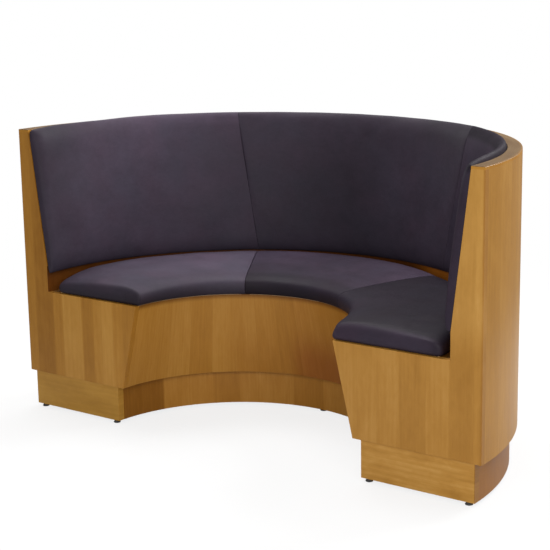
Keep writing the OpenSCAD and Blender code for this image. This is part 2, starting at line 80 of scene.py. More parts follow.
class Tree:
    """A material with a Principled shader, and short names for the nodes that the materials use."""

    def __init__(self, name):
        self.mat = bpy.data.materials.new(name)
        self.mat.use_nodes = True
        self.tree = self.mat.node_tree
        self.tree.nodes.clear()
        self.out = self.new("ShaderNodeOutputMaterial")
        self.bsdf = self.new("ShaderNodeBsdfPrincipled")
        self.link(self.bsdf.outputs[0], self.out.inputs[0])

    def new(self, kind, **props):
        n = self.tree.nodes.new(kind)
        for k, v in props.items():
            setattr(n, k, v)
        return n

    def link(self, a, b):
        self.tree.links.new(a, b)

    def put(self, value, socket):
        if isinstance(value, bpy.types.NodeSocket):
            self.link(value, socket)
        elif value is not None:
            socket.default_value = value

    def math(self, op, a, b=None, c=None, clamp=False):
        n = self.new("ShaderNodeMath", operation=op, use_clamp=clamp)
        for v, s in zip((a, b, c), n.inputs):
            self.put(v, s)
        return n.outputs[0]

    def vec(self, x=0.0, y=0.0, z=0.0):
        n = self.new("ShaderNodeCombineXYZ")
        for v, s in zip((x, y, z), n.inputs):
            self.put(v, s)
        return n.outputs[0]

    def coords(self):
        """Object coordinates, which are the row frame on every piece here."""
        n = self.new("ShaderNodeTexCoord")
        s = self.new("ShaderNodeSeparateXYZ")
        self.link(n.outputs["Object"], s.inputs[0])
        return n.outputs["Object"], s.outputs[0], s.outputs[1], s.outputs[2]

    def noise(self, vector, scale=1.0, detail=2.0, rough=0.5, distortion=0.0, dims="3D"):
        n = self.new("ShaderNodeTexNoise", noise_dimensions=dims)
        self.put(vector, n.inputs["Vector"])
        n.inputs["Scale"].default_value = scale
        n.inputs["Detail"].default_value = detail
        n.inputs["Roughness"].default_value = rough
        n.inputs["Distortion"].default_value = distortion
        return n.outputs["Fac"]

    def voronoi(self, vector, scale, feature="F1", randomness=1.0):
        n = self.new("ShaderNodeTexVoronoi", feature=feature)
        self.put(vector, n.inputs["Vector"])
        n.inputs["Scale"].default_value = scale
        n.inputs["Randomness"].default_value = randomness
        return n.outputs["Distance"]

    def white(self, value):
        n = self.new("ShaderNodeTexWhiteNoise", noise_dimensions="1D")
        self.put(value, n.inputs["W"])
        return n.outputs["Value"]

    def span(self, value, a, b, c, d, smooth=False, clamp=True):
        """value from a..b mapped to c..d."""
        n = self.new("ShaderNodeMapRange", clamp=clamp, interpolation_type="SMOOTHSTEP" if smooth else "LINEAR")
        for v, s in zip((value, a, b, c, d), n.inputs):
            self.put(v, s)
        return n.outputs[0]

    def curve(self, value, points):
        """A smooth curve through (value, result) points."""
        xs, ys = [p[0] for p in points], [p[1] for p in points]
        low, high = min(ys), max(ys)
        n = self.new("ShaderNodeValToRGB")
        ramp = n.color_ramp
        ramp.interpolation = "EASE"
        while len(ramp.elements) < len(points):
            ramp.elements.new(1.0)
        for e, px, py in zip(ramp.elements, xs, ys):
            e.position = (px - xs[0]) / (xs[-1] - xs[0])
            grey = (py - low) / (high - low)
            e.color = (grey, grey, grey, 1.0)
        self.link(self.span(value, xs[0], xs[-1], 0.0, 1.0), n.inputs[0])
        return self.span(n.outputs[0], 0.0, 1.0, low, high)

    def mix(self, fac, a, b, blend="MIX"):
        n = self.new("ShaderNodeMix", data_type="RGBA", blend_type=blend)
        self.put(fac, n.inputs[0])
        self.put(a, n.inputs[6])
        self.put(b, n.inputs[7])
        return n.outputs[2]

    def scale_colour(self, colour, factor):
        """colour times a grey factor."""
        n = self.new("ShaderNodeVectorMath", operation="SCALE")
        self.put(colour, n.inputs[0])
        self.put(factor, n.inputs[3])
        return n.outputs[0]

    def bump(self, height, distance, strength=1.0, normal=None):
        n = self.new("ShaderNodeBump")
        n.inputs["Strength"].default_value = strength
        n.inputs["Distance"].default_value = distance
        self.put(height, n.inputs["Height"])
        if normal is not None:
            self.put(normal, n.inputs["Normal"])
        return n.outputs[0]

    def set(self, **values):
        for k, v in values.items():
            self.put(v, self.bsdf.inputs[k.replace("_", " ")])
        return self.mat


def polar(t, x, y):
    """Nodes for the distance from, and the angle round, the half circle's centre."""
    yc = t.math("SUBTRACT", y, CY)
    radius = t.math("SQRT", t.math("ADD", t.math("MULTIPLY", x, x), t.math("MULTIPLY", yc, yc)))
    return radius, t.math("ARCTAN2", yc, x)


# ------------------------------------------------------------------ materials
def veneer_figure(t, seed, across, tone, leaf, start, figure, leaves=None, lie=False):
    """Colour and grain of stained veneer laid in vertical leaves.
    across is flat (measured along X), curved (round the half circle) or panel (flat face, curved outer edge).
    leaves gives the leaves' edges and tones where they are known; lie turns the grain level."""
    obj, x, y, z = t.coords()
    radius, angle = polar(t, x, y)
    arc = t.math("MULTIPLY", angle, R_OUT)
    if across == "flat":
        s = t.math("ABSOLUTE", x)
    elif across == "curved":
        s = arc
    else:                                    # the shell's veneer runs over the panel's outer edge
        edge = t.math("GREATER_THAN", radius, R_OUT - 0.0006)
        ax = t.math("ABSOLUTE", x)
        s = t.math("ADD", t.math("MULTIPLY", edge, arc), t.math("MULTIPLY", t.math("SUBTRACT", 1.0, edge), ax))
    if lie:
        s, z = z, s
    sway = t.noise(t.vec(seed, 0, t.math("MULTIPLY", z, 2.0)), 1.0, 1.0)
    s = t.math("ADD", s, t.span(sway, 0.3, 0.7, -0.0015, 0.0015))
    if leaves:
        index, tone_of = 0.0, leaves[0][1]
        line = None
        for (edge_at, level), (_, before) in zip(leaves[1:], leaves):
            index = t.math("ADD", t.math("GREATER_THAN", s, edge_at), index)
            tone_of = t.math("ADD", t.math("MULTIPLY", t.span(s, edge_at - 0.007, edge_at + 0.007, 0.0, 1.0, True), level - before), tone_of)
            off = t.math("ABSOLUTE", t.math("SUBTRACT", s, edge_at))
            line = off if line is None else t.math("MINIMUM", line, off)
        line = t.span(line, 0.0, 0.0009, 0.93, 1.0, True)
    else:
        turns = t.math("DIVIDE", t.math("SUBTRACT", s, start), leaf)
        index = t.math("FLOOR", turns)
        inside = t.math("SUBTRACT", turns, index)
        gap = t.math("MINIMUM", inside, t.math("SUBTRACT", 1.0, inside))
        line = t.span(gap, 0.0, 0.012, 0.90, 1.0, True)
    shift = t.white(t.math("ADD", index, seed * 7.31))
    shift2 = t.white(t.math("ADD", index, seed * 3.17 + 40.5))
    if not leaves:
        tone_of = t.span(shift, 0.0, 1.0, -0.075, 0.075)
    ls = t.math("ADD", s, t.math("MULTIPLY", shift, 3.0))
    lz = t.math("ADD", z, t.math("MULTIPLY", shift2, 5.0))
    # fibres, streaks, the slow wave of the growth rings, and the cloudy stain
    fibre = t.noise(t.vec(t.math("MULTIPLY", ls, 1300), seed, t.math("MULTIPLY", lz, 22)), 1.0, 3.0, 0.6)
    streak = t.noise(t.vec(t.math("MULTIPLY", ls, 110), seed + 3, t.math("MULTIPLY", lz, 3.0)), 1.0, 3.0, 0.55)
    bend = t.noise(t.vec(t.math("MULTIPLY", ls, 9), seed + 5, t.math("MULTIPLY", lz, 2.4)), 1.0, 1.0)
    ring = t.math("SINE", t.math("ADD", t.math("MULTIPLY", ls, 240), t.math("MULTIPLY", bend, 30)))
    cloud = t.noise(t.vec(t.math("MULTIPLY", ls, 16), seed + 9, t.math("MULTIPLY", lz, 6)), 1.0, 2.0, 0.5, 0.5)
    mottle = t.noise(t.vec(t.math("MULTIPLY", ls, 60), seed + 18, t.math("MULTIPLY", lz, 26)), 1.0, 2.0, 0.6, 0.4)
    patch = t.noise(t.vec(t.math("MULTIPLY", ls, 7), seed + 12, t.math("MULTIPLY", lz, 2.5)), 1.0, 1.0)
    fleck = t.noise(t.vec(t.math("MULTIPLY", ls, 420), seed + 15, t.math("MULTIPLY", lz, 45)), 1.0, 1.0)
    f = t.span(fibre, 0.3, 0.7, -0.026, 0.026)
    f = t.math("ADD", f, t.span(streak, 0.3, 0.7, -0.045 * figure, 0.045 * figure))
    f = t.math("ADD", f, t.math("MULTIPLY", ring, t.span(patch, 0.35, 0.7, 0.002, 0.014 * figure)))
    f = t.math("ADD", f, t.span(cloud, 0.3, 0.72, -0.055 * figure, 0.055 * figure))
    f = t.math("ADD", f, t.span(mottle, 0.3, 0.7, -0.028 * figure, 0.028 * figure))
    f = t.math("ADD", f, t.span(fleck, 0.66, 0.78, 0.0, -0.035))
    value = t.math("ADD", t.math("ADD", f, tone_of), 1.0)
    # the deep parts are redder and the pale ones are yellower
    warm = t.mix(t.span(value, 0.66, 1.0, 0.0, 1.0), WOOD_DEEP, WOOD_MID)
    colour = t.mix(t.span(value, 1.0, 1.30, 0.0, 1.0), warm, WOOD_PALE)
    colour = t.mix(1.0, t.scale_colour(colour, line), (*tone, 1.0), "MULTIPLY")
    return colour, s, z, fibre, streak, cloud, line


WOOD_DEEP = (0.270, 0.1060, 0.0085, 1.0)
WOOD_MID = (0.430, 0.1940, 0.0270, 1.0)
WOOD_PALE = (0.565, 0.2930, 0.0640, 1.0)


def veneer(name, seed, across, tone=(1.0, 1.0, 1.0), leaf=0.0735, start=0.442, rough=0.38, figure=1.0, leaves=None, lie=False, more=None):
    """Stained, satin lacquered veneer; more changes the colour at chosen places."""
    t = Tree(name)
    colour, s, z, fibre, streak, cloud, line = veneer_figure(t, seed, across, tone, leaf, start, figure, leaves, lie)
    if more:
        colour = more(t, colour)
    grain = t.math("ADD", t.math("MULTIPLY", fibre, 0.6), t.math("MULTIPLY", streak, 0.4))
    normal = t.bump(grain, 0.00022, 0.30)
    normal = t.bump(line, 0.0002, 0.25, normal)
    ripple = t.noise(t.vec(t.math("MULTIPLY", s, 6), seed + 20, t.math("MULTIPLY", z, 6)), 1.0, 1.0)
    normal = t.bump(ripple, 0.002, 0.2, normal)
    roughness = t.span(t.math("ADD", t.math("MULTIPLY", cloud, 0.5), t.math("MULTIPLY", fibre, 0.5)), 0.3, 0.7, rough - 0.05, rough + 0.09)
    return t.set(Base_Color=colour, Roughness=roughness, Normal=normal, Specular_IOR_Level=0.30,
                 Coat_Weight=0.10, Coat_Roughness=0.24, IOR=1.48)


def rim_wood(name):
    """Solid wood rim: the grain runs round the curve on top, and the case's veneer is carried over its sides."""
    t = Tree(name)
    obj, x, y, z = t.coords()
    radius, angle = polar(t, x, y)
    a = t.math("MULTIPLY", angle, 0.82)
    v = lambda r, l, k: t.vec(t.math("MULTIPLY", radius, r), t.math("MULTIPLY", z, r), t.math("MULTIPLY", t.math("ADD", a, k), l))
    fibre = t.noise(v(1400, 22, 0), 1.0, 3.0, 0.6)
    streak = t.noise(v(190, 3.0, 3), 1.0, 3.0)
    cloud = t.noise(v(30, 6.0, 7), 1.0, 2.0)
    f = t.math("ADD", t.span(fibre, 0.3, 0.7, -0.06, 0.06), t.span(streak, 0.3, 0.7, -0.09, 0.09))
    f = t.math("ADD", f, t.span(cloud, 0.3, 0.7, -0.08, 0.08))
    value = t.math("ADD", f, 1.0)
    top = t.mix(t.span(value, 0.8, 1.2, 0.0, 1.0), srgb(95, 69, 41), srgb(125, 101, 69))
    side = veneer_figure(t, 11.0, "curved", (1.0, 1.0, 1.0), 0.082, 0.02, 1.0)[0]
    # the rim's outer few millimetres on top are rubbed as pale gold as its side
    on_top = t.math("MULTIPLY", t.span(z, 0.9162, 0.9174, 0.0, 1.0), t.span(radius, 0.8325, 0.8375, 1.0, 0.72, True))
    colour = t.mix(on_top, side, top)
    normal = t.bump(t.math("ADD", fibre, streak), 0.0002, 0.35)
    return t.set(Base_Color=colour, Roughness=t.span(fibre, 0.3, 0.7, 0.36, 0.48), Normal=normal,
                 Specular_IOR_Level=0.18, Coat_Weight=0.0, Coat_Roughness=0.26, IOR=1.48)


def raw_plywood(name, seed=0.0):
    """Unfinished birch plywood; its layers show where a face lies across them."""
    t = Tree(name)
    obj, x, y, z = t.coords()
    fibre = t.noise(t.vec(t.math("MULTIPLY", x, 35), t.math("MULTIPLY", y, 900), t.math("MULTIPLY", z, 260)), 1.0, 3.0, 0.6)
    broad = t.noise(t.vec(t.math("MULTIPLY", x, 4), t.math("MULTIPLY", y, 38), t.math("MULTIPLY", z, 30)), 1.0, 2.0, 0.5, 0.8)
    spot = t.noise(obj, 9.0, 2.0)
    f = t.math("ADD", t.span(fibre, 0.3, 0.7, -0.06, 0.06), t.span(broad, 0.3, 0.7, -0.10, 0.10))
    f = t.math("ADD", t.math("ADD", f, t.span(spot, 0.3, 0.7, -0.05, 0.05)), 1.0)
    colour = t.mix(t.span(f, 0.82, 1.18, 0.0, 1.0), srgb(176, 143, 98), srgb(221, 195, 152))
    normal = t.bump(fibre, 0.0003, 0.4)
    return t.set(Base_Color=colour, Roughness=t.span(fibre, 0.3, 0.7, 0.62, 0.78), Normal=normal)


def hardwood(name):
    t = Tree(name)
    obj, x, y, z = t.coords()
    fibre = t.noise(t.vec(t.math("MULTIPLY", x, 1300), t.math("MULTIPLY", y, 1300), t.math("MULTIPLY", z, 40)), 1.0, 3.0, 0.6)
    colour = t.mix(t.span(fibre, 0.3, 0.7, 0.0, 1.0), srgb(178, 138, 92), srgb(214, 180, 132))
    return t.set(Base_Color=colour, Roughness=t.span(fibre, 0.3, 0.7, 0.5, 0.65), Normal=t.bump(fibre, 0.0002, 0.3))


def vinyl(name, base, seed=0.0, nap_and_light=None, low_shade=None, light_and_shade=None, gloss=0.19):
    """Charcoal upholstery vinyl with a soft hand: a fine pebbled grain, a slow cloudy tone and a dull face.
    nap_and_light gives two angles round the bench and the tone at each: a sweep of painted light across the section,
    which also stands for the lay of the nap.
    low_shade gives two heights and the tone below the first: painted shade, darker towards the lower edge.
    light_and_shade changes the tone where light and shade are painted on the cover."""
    t = Tree(name)
    obj, x, y, z = t.coords()
    warp = t.noise(obj, 60.0, 2.0)
    cells = t.voronoi(obj, 620.0, "F1")
    folds = t.voronoi(obj, 330.0, "DISTANCE_TO_EDGE")
    pores = t.noise(obj, 1500.0, 2.0)
    cloud = t.noise(t.vec(x, y, t.math("ADD", z, seed)), 5.5, 2.0, 0.5, 0.4)
    cloud2 = t.noise(t.vec(x, t.math("ADD", y, seed), z), 19.0, 3.0, 0.55)
    rub = t.noise(t.vec(t.math("ADD", x, seed), y, t.math("MULTIPLY", z, 1.6)), 46.0, 3.0, 0.6, 0.8)
    f = t.math("ADD", t.span(cloud, 0.3, 0.7, -0.10, 0.10), t.span(cloud2, 0.3, 0.7, -0.07, 0.07))
    f = t.math("ADD", f, t.span(rub, 0.3, 0.7, -0.06, 0.06))
    f = t.math("ADD", f, t.span(cells, 0.1, 0.7, 0.04, -0.04))
    level = t.math("ADD", f, 1.0)
    # painted light swept round the bench, partly the nap's lay
    if nap_and_light:
        radius, angle = polar(t, x, y)
        level = t.math("MULTIPLY", level, t.span(angle, math.radians(nap_and_light[0]), math.radians(nap_and_light[1]), nap_and_light[2], nap_and_light[3]))
    # painted shade towards the lower edge
    if low_shade:
        level = t.math("MULTIPLY", level, t.span(z, low_shade[0], low_shade[1], low_shade[2], 1.0, True))
    # painted light and shade on the cover
    if light_and_shade:
        level = t.math("MULTIPLY", level, light_and_shade(t))
    hue = t.noise(t.vec(x, y, t.math("ADD", z, seed + 2.0)), 8.0, 2.0)
    tint = t.mix(t.span(hue, 0.3, 0.7, 0.0, 1.0), (base[0] * 1.04, base[1] * 0.97, base[2] * 0.98, 1.0),
                 (base[0] * 0.96, base[1] * 1.03, base[2] * 1.02, 1.0))
    colour = t.scale_colour(tint, level)
    height = t.math("ADD", t.math("MULTIPLY", cells, -0.5), t.math("MULTIPLY", t.span(folds, 0.0, 0.12, 0.0, 0.5), 0.8))
    height = t.math("ADD", height, t.math("MULTIPLY", pores, 0.25))
    normal = t.bump(warp, 0.0012, 0.30)
    normal = t.bump(height, 0.00022, 0.45, normal)
    rough = t.math("ADD", t.span(cloud2, 0.3, 0.7, 0.54, 0.62), t.span(cells, 0.0, 0.6, -0.02, 0.03))
    return t.set(Base_Color=colour, Roughness=rough, Normal=normal, Specular_IOR_Level=gloss, IOR=1.47)


def degrees_round(t):
    obj, x, y, z = t.coords()
    radius, angle = polar(t, x, y)
    return radius, t.math("MULTIPLY", angle, 180 / math.pi), y, z


# painted light and shade on the left seat section: paler towards the rear and the seam, darker at the front edge and
# the end
def seat_left_painted_light(t):
    radius, turn, y, z = degrees_round(t)
    rear = t.curve(radius, [(0.40, 0.0), (0.55, 0.28), (0.63, 0.56), (0.70, 0.54)])
    side = t.curve(turn, [(120, 1.10), (134, 1.42), (152, 0.80), (176, 0.30)])
    front = t.curve(radius, [(0.360, 0.80), (0.395, 0.88), (0.44, 1.0)])
    front = t.math("MULTIPLY", front, t.span(t.math("SUBTRACT", y, CY), 0.004, 0.014, 0.74, 1.0, True))
    return t.math("MULTIPLY", front, t.math("ADD", t.math("MULTIPLY", rear, side), 1.0))


# painted light and shade on the centre seat section: paler towards the rear at its sides, darker at the front edge
def seat_centre_painted_light(t):
    radius, turn, y, z = degrees_round(t)
    rear = t.curve(radius, [(0.49, 0.0), (0.57, 0.55), (0.63, 1.0)])
    side = t.curve(turn, [(66, 0.32), (88, 0.0), (119, 1.15)])
    front = t.curve(radius, [(0.375, 0.44), (0.392, 0.49), (0.43, 0.82), (0.47, 0.92), (0.53, 1.0)])
    return t.math("MULTIPLY", front, t.math("ADD", t.math("MULTIPLY", rear, side), 1.0))


def seat_right_painted_light(t):
    """Painted light and shade on the right seat section: darker towards its free end, paler at the rear and along the
    front edge; the end's boxing is paler.
    """
    radius, turn, y, z = degrees_round(t)
    k = t.math("SUBTRACT", y, CY)
    rear = t.math("MULTIPLY", t.span(radius, 0.56, 0.64, 0.0, 0.15, True), t.span(turn, 18, 32, 0.0, 1.0, True))
    level = t.math("MULTIPLY", t.curve(turn, [(3, 0.73), (10, 0.82), (17, 0.93), (25, 1.0)]), t.math("ADD", rear, 1.0))
    level = t.math("MULTIPLY", level, t.curve(radius, [(0.37, 1.16), (0.395, 1.12), (0.42, 1.0)]))
    box = t.math("MULTIPLY", t.span(k, 0.006, 0.022, 1.0, 0.0, True), t.span(radius, 0.66, 0.71, 1.0, 0.3, True))
    return t.math("ADD", t.math("MULTIPLY", level, t.math("SUBTRACT", 1.0, box)), t.math("MULTIPLY", box, 1.62))


# painted light and shade on the left back section: paler high up and towards the seam, darker at the free end and along
# the lower roll
def back_left_painted_light(t):
    radius, turn, y, z = degrees_round(t)
    high = t.curve(z, [(0.60, 0.0), (0.74, 0.35), (0.85, 1.0), (0.90, 1.0)])
    side = t.curve(turn, [(134, 0.08), (150, 0.36), (172, -0.05)])
    level = t.math("ADD", t.math("MULTIPLY", high, side), 1.0)
    level = t.math("MULTIPLY", level, t.curve(turn, [(120, 0.98), (133, 1.09), (165, 1.05), (177, 0.78)]))
    roll = t.curve(turn, [(121, 0.22), (134, 0.18), (145, 0.02), (172, -0.18)])
    level = t.math("MULTIPLY", level, t.math("ADD", t.math("MULTIPLY", roll, t.span(z, 0.88, 0.91, 0.0, 1.0, True)), 1.0))
    return t.math("MULTIPLY", level, t.span(z, 0.49, 0.53, 0.84, 1.0, True))


# painted light and shade on the centre back section: its tone rises and falls round the bench and with height, darker
# along the lower roll and on the top roll's right part
def back_centre_painted_light(t):
    radius, turn, y, z = degrees_round(t)
    side = t.curve(turn, [(74, 0.25), (97, -0.26), (121, -0.05)])
    low = t.curve(z, [(0.50, 0.8), (0.56, 1.0), (0.73, 0.9), (0.86, 0.0)])
    level = t.math("ADD", t.math("MULTIPLY", side, low), 1.0)
    level = t.math("MULTIPLY", level, t.curve(z, [(0.49, 0.92), (0.53, 0.98), (0.66, 1.0), (0.90, 1.08)]))
    foot = t.math("MULTIPLY", t.span(z, 0.56, 0.66, 0.18, 0.0, True), t.curve(turn, [(66, 0.0), (80, 1.0), (100, 0.0)]))
    level = t.math("MULTIPLY", level, t.math("SUBTRACT", 1.0, foot))
    right = t.math("MULTIPLY", t.span(turn, 80, 70, 0.0, 0.24, True), t.span(z, 0.85, 0.89, 0.0, 1.0, True))
    return t.math("MULTIPLY", level, t.math("SUBTRACT", 1.0, right))


def back_right_painted_shade(t):
    """Painted shade on the top roll's crest, which takes out the light it catches."""
    radius, turn, y, z = degrees_round(t)
    return t.span(z, 0.893, 0.912, 1.0, 0.50, True)


def zinc(name):
    t = Tree(name)
    obj, x, y, z = t.coords()
    scratch = t.noise(t.vec(t.math("MULTIPLY", x, 300), t.math("MULTIPLY", y, 300), t.math("MULTIPLY", z, 2600)), 1.0, 2.0)
    spangle = t.noise(obj, 420.0, 2.0)
    colour = t.mix(t.span(spangle, 0.35, 0.65, 0.0, 1.0), srgb(150, 152, 156), srgb(196, 197, 200))
    return t.set(Base_Color=colour, Metallic=1.0, Roughness=t.span(scratch, 0.3, 0.7, 0.24, 0.42), Normal=t.bump(scratch, 0.0001, 0.3))


def black_plastic(name):
    t = Tree(name)
    obj, x, y, z = t.coords()
    speck = t.noise(obj, 900.0, 2.0)
    dust = t.noise(obj, 70.0, 2.0)
    colour = t.mix(t.span(dust, 0.35, 0.75, 0.0, 1.0), srgb(48, 47, 47), srgb(76, 74, 72))
    return t.set(Base_Color=colour, Roughness=t.span(speck, 0.3, 0.7, 0.42, 0.58), Normal=t.bump(speck, 0.00015, 0.4))


def floor_finish(name, pale, through):
    """Pale matt floor: through is how much of the white sweep below it shows, and its outer part fades away."""
    t = Tree(name)
    obj, x, y, z = t.coords()
    grain = t.noise(obj, 3.0, 2.0)
    colour = t.mix(t.span(grain, 0.3, 0.7, 0.0, 1.0), (pale - 0.01, pale - 0.01, pale - 0.01, 1), (pale + 0.01, pale + 0.01, pale + 0.01, 1))
    t.set(Base_Color=colour, Roughness=0.9, Specular_IOR_Level=0.1)
    reach = t.math("SQRT", t.math("ADD", t.math("MULTIPLY", x, x), t.math("MULTIPLY", y, y)))
    clear = t.new("ShaderNodeBsdfTransparent")
    blend = t.new("ShaderNodeMixShader")
    t.put(t.span(reach, 1.15, 2.4, through, 1.0, True), blend.inputs[0])
    t.link(t.bsdf.outputs[0], blend.inputs[1])
    t.link(clear.outputs[0], blend.inputs[2])
    t.link(blend.outputs[0], t.out.inputs[0])
    return t.mat


def tinted(t, colour, fac, tone):
    """The colour, times tone where fac is 1."""
    return t.mix(fac, colour, t.mix(1.0, colour, (*tone, 1.0), "MULTIPLY"))


def strip_painted_shade(t, colour):
    """Painted shade: the crumb strip is darkened where the back's lower roll shadows it, except towards its right part.
    """
    obj, x, y, z = t.coords()
    radius, angle = polar(t, x, y)
    return tinted(t, colour, t.span(angle, math.radians(65), math.radians(77), 0.0, 1.0, True), (0.26, 0.23, 0.18))


def fascia_painted_shade(t, colour):
    """Painted shade along the fascia's upper edge, under the seat sections, where they shadow it; the fascia is also
    darker low down at the right.
    """
    obj, x, y, z = t.coords()
    radius, angle = polar(t, x, y)
    low = t.span(z, 0.31, 0.17, 0.28, 1.0, True)
    right = t.math("ADD", t.span(angle, math.radians(104), math.radians(92), 0.0, 0.75, True), t.span(angle, math.radians(134), math.radians(120), 0.0, 0.25, True))
    colour = tinted(t, colour, t.math("MULTIPLY", low, right), (0.71, 0.52, 0.44))
    # painted shadow under the seat cushions' front edge
    return tinted(t, colour, t.span(z, 0.376, 0.397, 0.0, 1.0, True), (0.42, 0.34, 0.26))


def left_edge_painted_shade(t, colour):
    """Painted shade on the left panel's cut edge beside the crumb strip, as dark as the strip's painted shade."""
    obj, x, y, z = t.coords()
    here = t.math("MULTIPLY", t.math("GREATER_THAN", x, -0.7438), t.math("MULTIPLY", t.math("GREATER_THAN", z, 0.3963), t.math("LESS_THAN", z, 0.482)))
    return tinted(t, colour, here, (0.30, 0.20, 0.12))


def right_panel(t, colour):
    """The right panel is paler beside the back, and a dark joint parts it from the shell."""
    obj, x, y, z = t.coords()
    radius, angle = polar(t, x, y)
    colour = tinted(t, colour, t.math("MULTIPLY", t.span(z, 0.40, 0.54, 0.0, 1.0, True), t.span(x, 0.72, 0.75, 0.0, 1.0)), (1.20, 1.30, 1.68))
    return tinted(t, colour, t.math("MULTIPLY", t.span(x, 0.8315, 0.8385, 0.0, 1.0, True), t.span(z, 0.50, 0.70, 0.6, 1.0, True)), (0.72, 0.63, 0.50))


def plinth_corner(t, colour):
    """The plinth's right end plate is stained like the outer face where its edge shows."""
    obj, x, y, z = t.coords()
    radius, angle = polar(t, x, y)
    return tinted(t, colour, t.span(radius, 0.8165, 0.8185, 0.0, 1.0, True), (0.64, 0.57, 0.48))


def paint(node, mat):
    o = nodes[node]
    o.data.materials.clear()
    o.data.materials.append(mat)


# the veneer leaves that can be told apart in the photo, each with its near edge in metres and its tone
LEAVES_RIGHT = [(0.0, 0.03), (0.447, 0.02), (0.512, 0.03), (0.585, -0.07), (0.668, 0.02), (0.741, -0.09), (0.814, -0.03)]
LEAVES_LEFT = [(0.0, -0.12), (0.422, -0.02), (0.466, 0.15), (0.514, 0.03), (0.551, -0.13), (0.597, 0.14), (0.684, -0.03),
               (0.724, -0.21), (0.800, -0.05)]
LEAVES_PLINTH = [(0.0, 0.06), (1.29, -0.09), (1.49, 0.06), (1.83, -0.08), (1.99, 0.04), (2.30, -0.33)]
m_shell = veneer("veneer_shell", 11.0, "curved", tone=(1.0, 1.04, 1.10), start=0.02, leaf=0.082)
m_fascia = veneer("veneer_fascia", 23.0, "curved", start=0.05, leaf=0.15, figure=0.9, more=fascia_painted_shade)
m_panel_r = veneer("veneer_panel_right", 31.0, "panel", tone=(1.03, 1.08, 1.30), leaves=LEAVES_RIGHT, more=right_panel)
m_panel_l = veneer("veneer_panel_left", 44.0, "panel", tone=(1.02, 1.02, 0.95), leaves=LEAVES_LEFT, more=left_edge_painted_shade)
m_strip = veneer("veneer_strip", 52.0, "curved", tone=(0.86, 0.60, 0.39), leaf=0.31, figure=0.7, more=strip_painted_shade)
m_plinth = veneer("veneer_plinth", 67.0, "curved", tone=(0.95, 0.92, 0.88), leaves=LEAVES_PLINTH)
m_plinth_out = veneer("veneer_plinth_outer", 58.0, "curved", tone=(0.69, 0.59, 0.60), leaf=0.24)
m_plinth_l = veneer("veneer_plinth_left", 71.0, "flat", tone=(1.15, 1.30, 1.45), leaf=0.6, start=-1.0, figure=1.2, lie=True)
m_plinth_r = veneer("veneer_plinth_right", 77.0, "flat", tone=(1.14, 1.24, 1.60), leaf=0.6, start=-1.0, figure=1.8, lie=True, more=plinth_corner)
m_rim = rim_wood("rim_wood")
# the deck's dark finish is painted shade: it shows only in the shadowed gaps behind and beside the seat sections
m_deck_painted_shade = veneer("deck_painted_shade", 83.0, "flat", tone=(0.34, 0.30, 0.24), leaf=2.0, start=-3.0)
m_ply = raw_plywood("raw_plywood")
m_hard = hardwood("hardwood")
m_zinc = zinc("zinc_steel")
m_black = black_plastic("black_plastic")

paint("outer_shell", m_shell)
paint("seat_fascia", m_fascia)
paint("end_panel_right", m_panel_r)
paint("end_panel_left", m_panel_l)
paint("crumb_strip", m_strip)
paint("plinth_inner_face", m_plinth)
paint("plinth_outer_face", m_plinth_out)
paint("plinth_end_left", m_plinth_l)
paint("plinth_end_right", m_plinth_r)
paint("top_cap", m_rim)
for n in nodes:
    if n == "seat_deck":
        paint(n, m_deck_painted_shade)
    elif n.startswith(("frame_rib", "deck_", "foot_blocks", "plinth_braces", "seat_deck", "case_bottom", "back_board", "seat_board")):
        paint(n, m_ply)
    elif n.startswith(("seat_pegs", "end_dowels")):
        paint(n, m_hard)
    elif n.startswith(("foot_inserts", "plinth_screws", "back_screws", "foot_stem")):
        paint(n, m_zinc)
    elif n.startswith("foot_pad"):
        paint(n, m_black)


# ------------------------------------------------------------------ upholstery
def spline(points, n_per=14):
    """Points on a Catmull-Rom curve through the given points."""
    p = np.array(points, float)
    p = np.vstack([2 * p[0] - p[1], p, 2 * p[-1] - p[-2]])
    out = []
    for i in range(1, len(p) - 2):
        a, b, c, d = p[i - 1], p[i], p[i + 1], p[i + 2]
        for k in range(n_per):
            u = k / n_per
            out.append(0.5 * (2 * b + (c - a) * u + (2 * a - 5 * b + 4 * c - d) * u * u + (3 * b - 3 * c + d - a) * u ** 3))
    out.append(p[-2])
    return np.array(out)


def even(line, n):
    """n + 1 points evenly spaced along a line of points."""
    step = np.linalg.norm(np.diff(line, axis=0), axis=1)
    s = np.concatenate([[0], np.cumsum(step)])
    u = np.linspace(0, s[-1], n + 1)
    return np.stack([np.interp(u, s, line[:, k]) for k in range(line.shape[1])], 1)


def closed_profile(sides, counts):
    """One loop of points from the four sides of a section, each cut into its own number of even steps."""
    loop = []
    for side, n in zip(sides, counts):
        loop.extend(even(np.array(side, float), n)[:-1])
    return np.array(loop)


def stations(length, cell, start_cuts, end_cuts):
    """Distances along a panel: fine steps at both ends, even ones between."""
    a, b = start_cuts[-1], length - end_cuts[-1]
    n = max(2, round((b - a) / cell))
    mid = np.linspace(a, b, n + 1)
    return np.concatenate([start_cuts[:-1], mid, [length - d for d in end_cuts[-2::-1]]])


def drop(d, radius):
    """How far a rounded edge of that radius has fallen away at a distance d from it."""
    d = np.clip(d, 0, radius)
    return radius - np.sqrt(np.maximum(radius ** 2 - (radius - d) ** 2, 0))


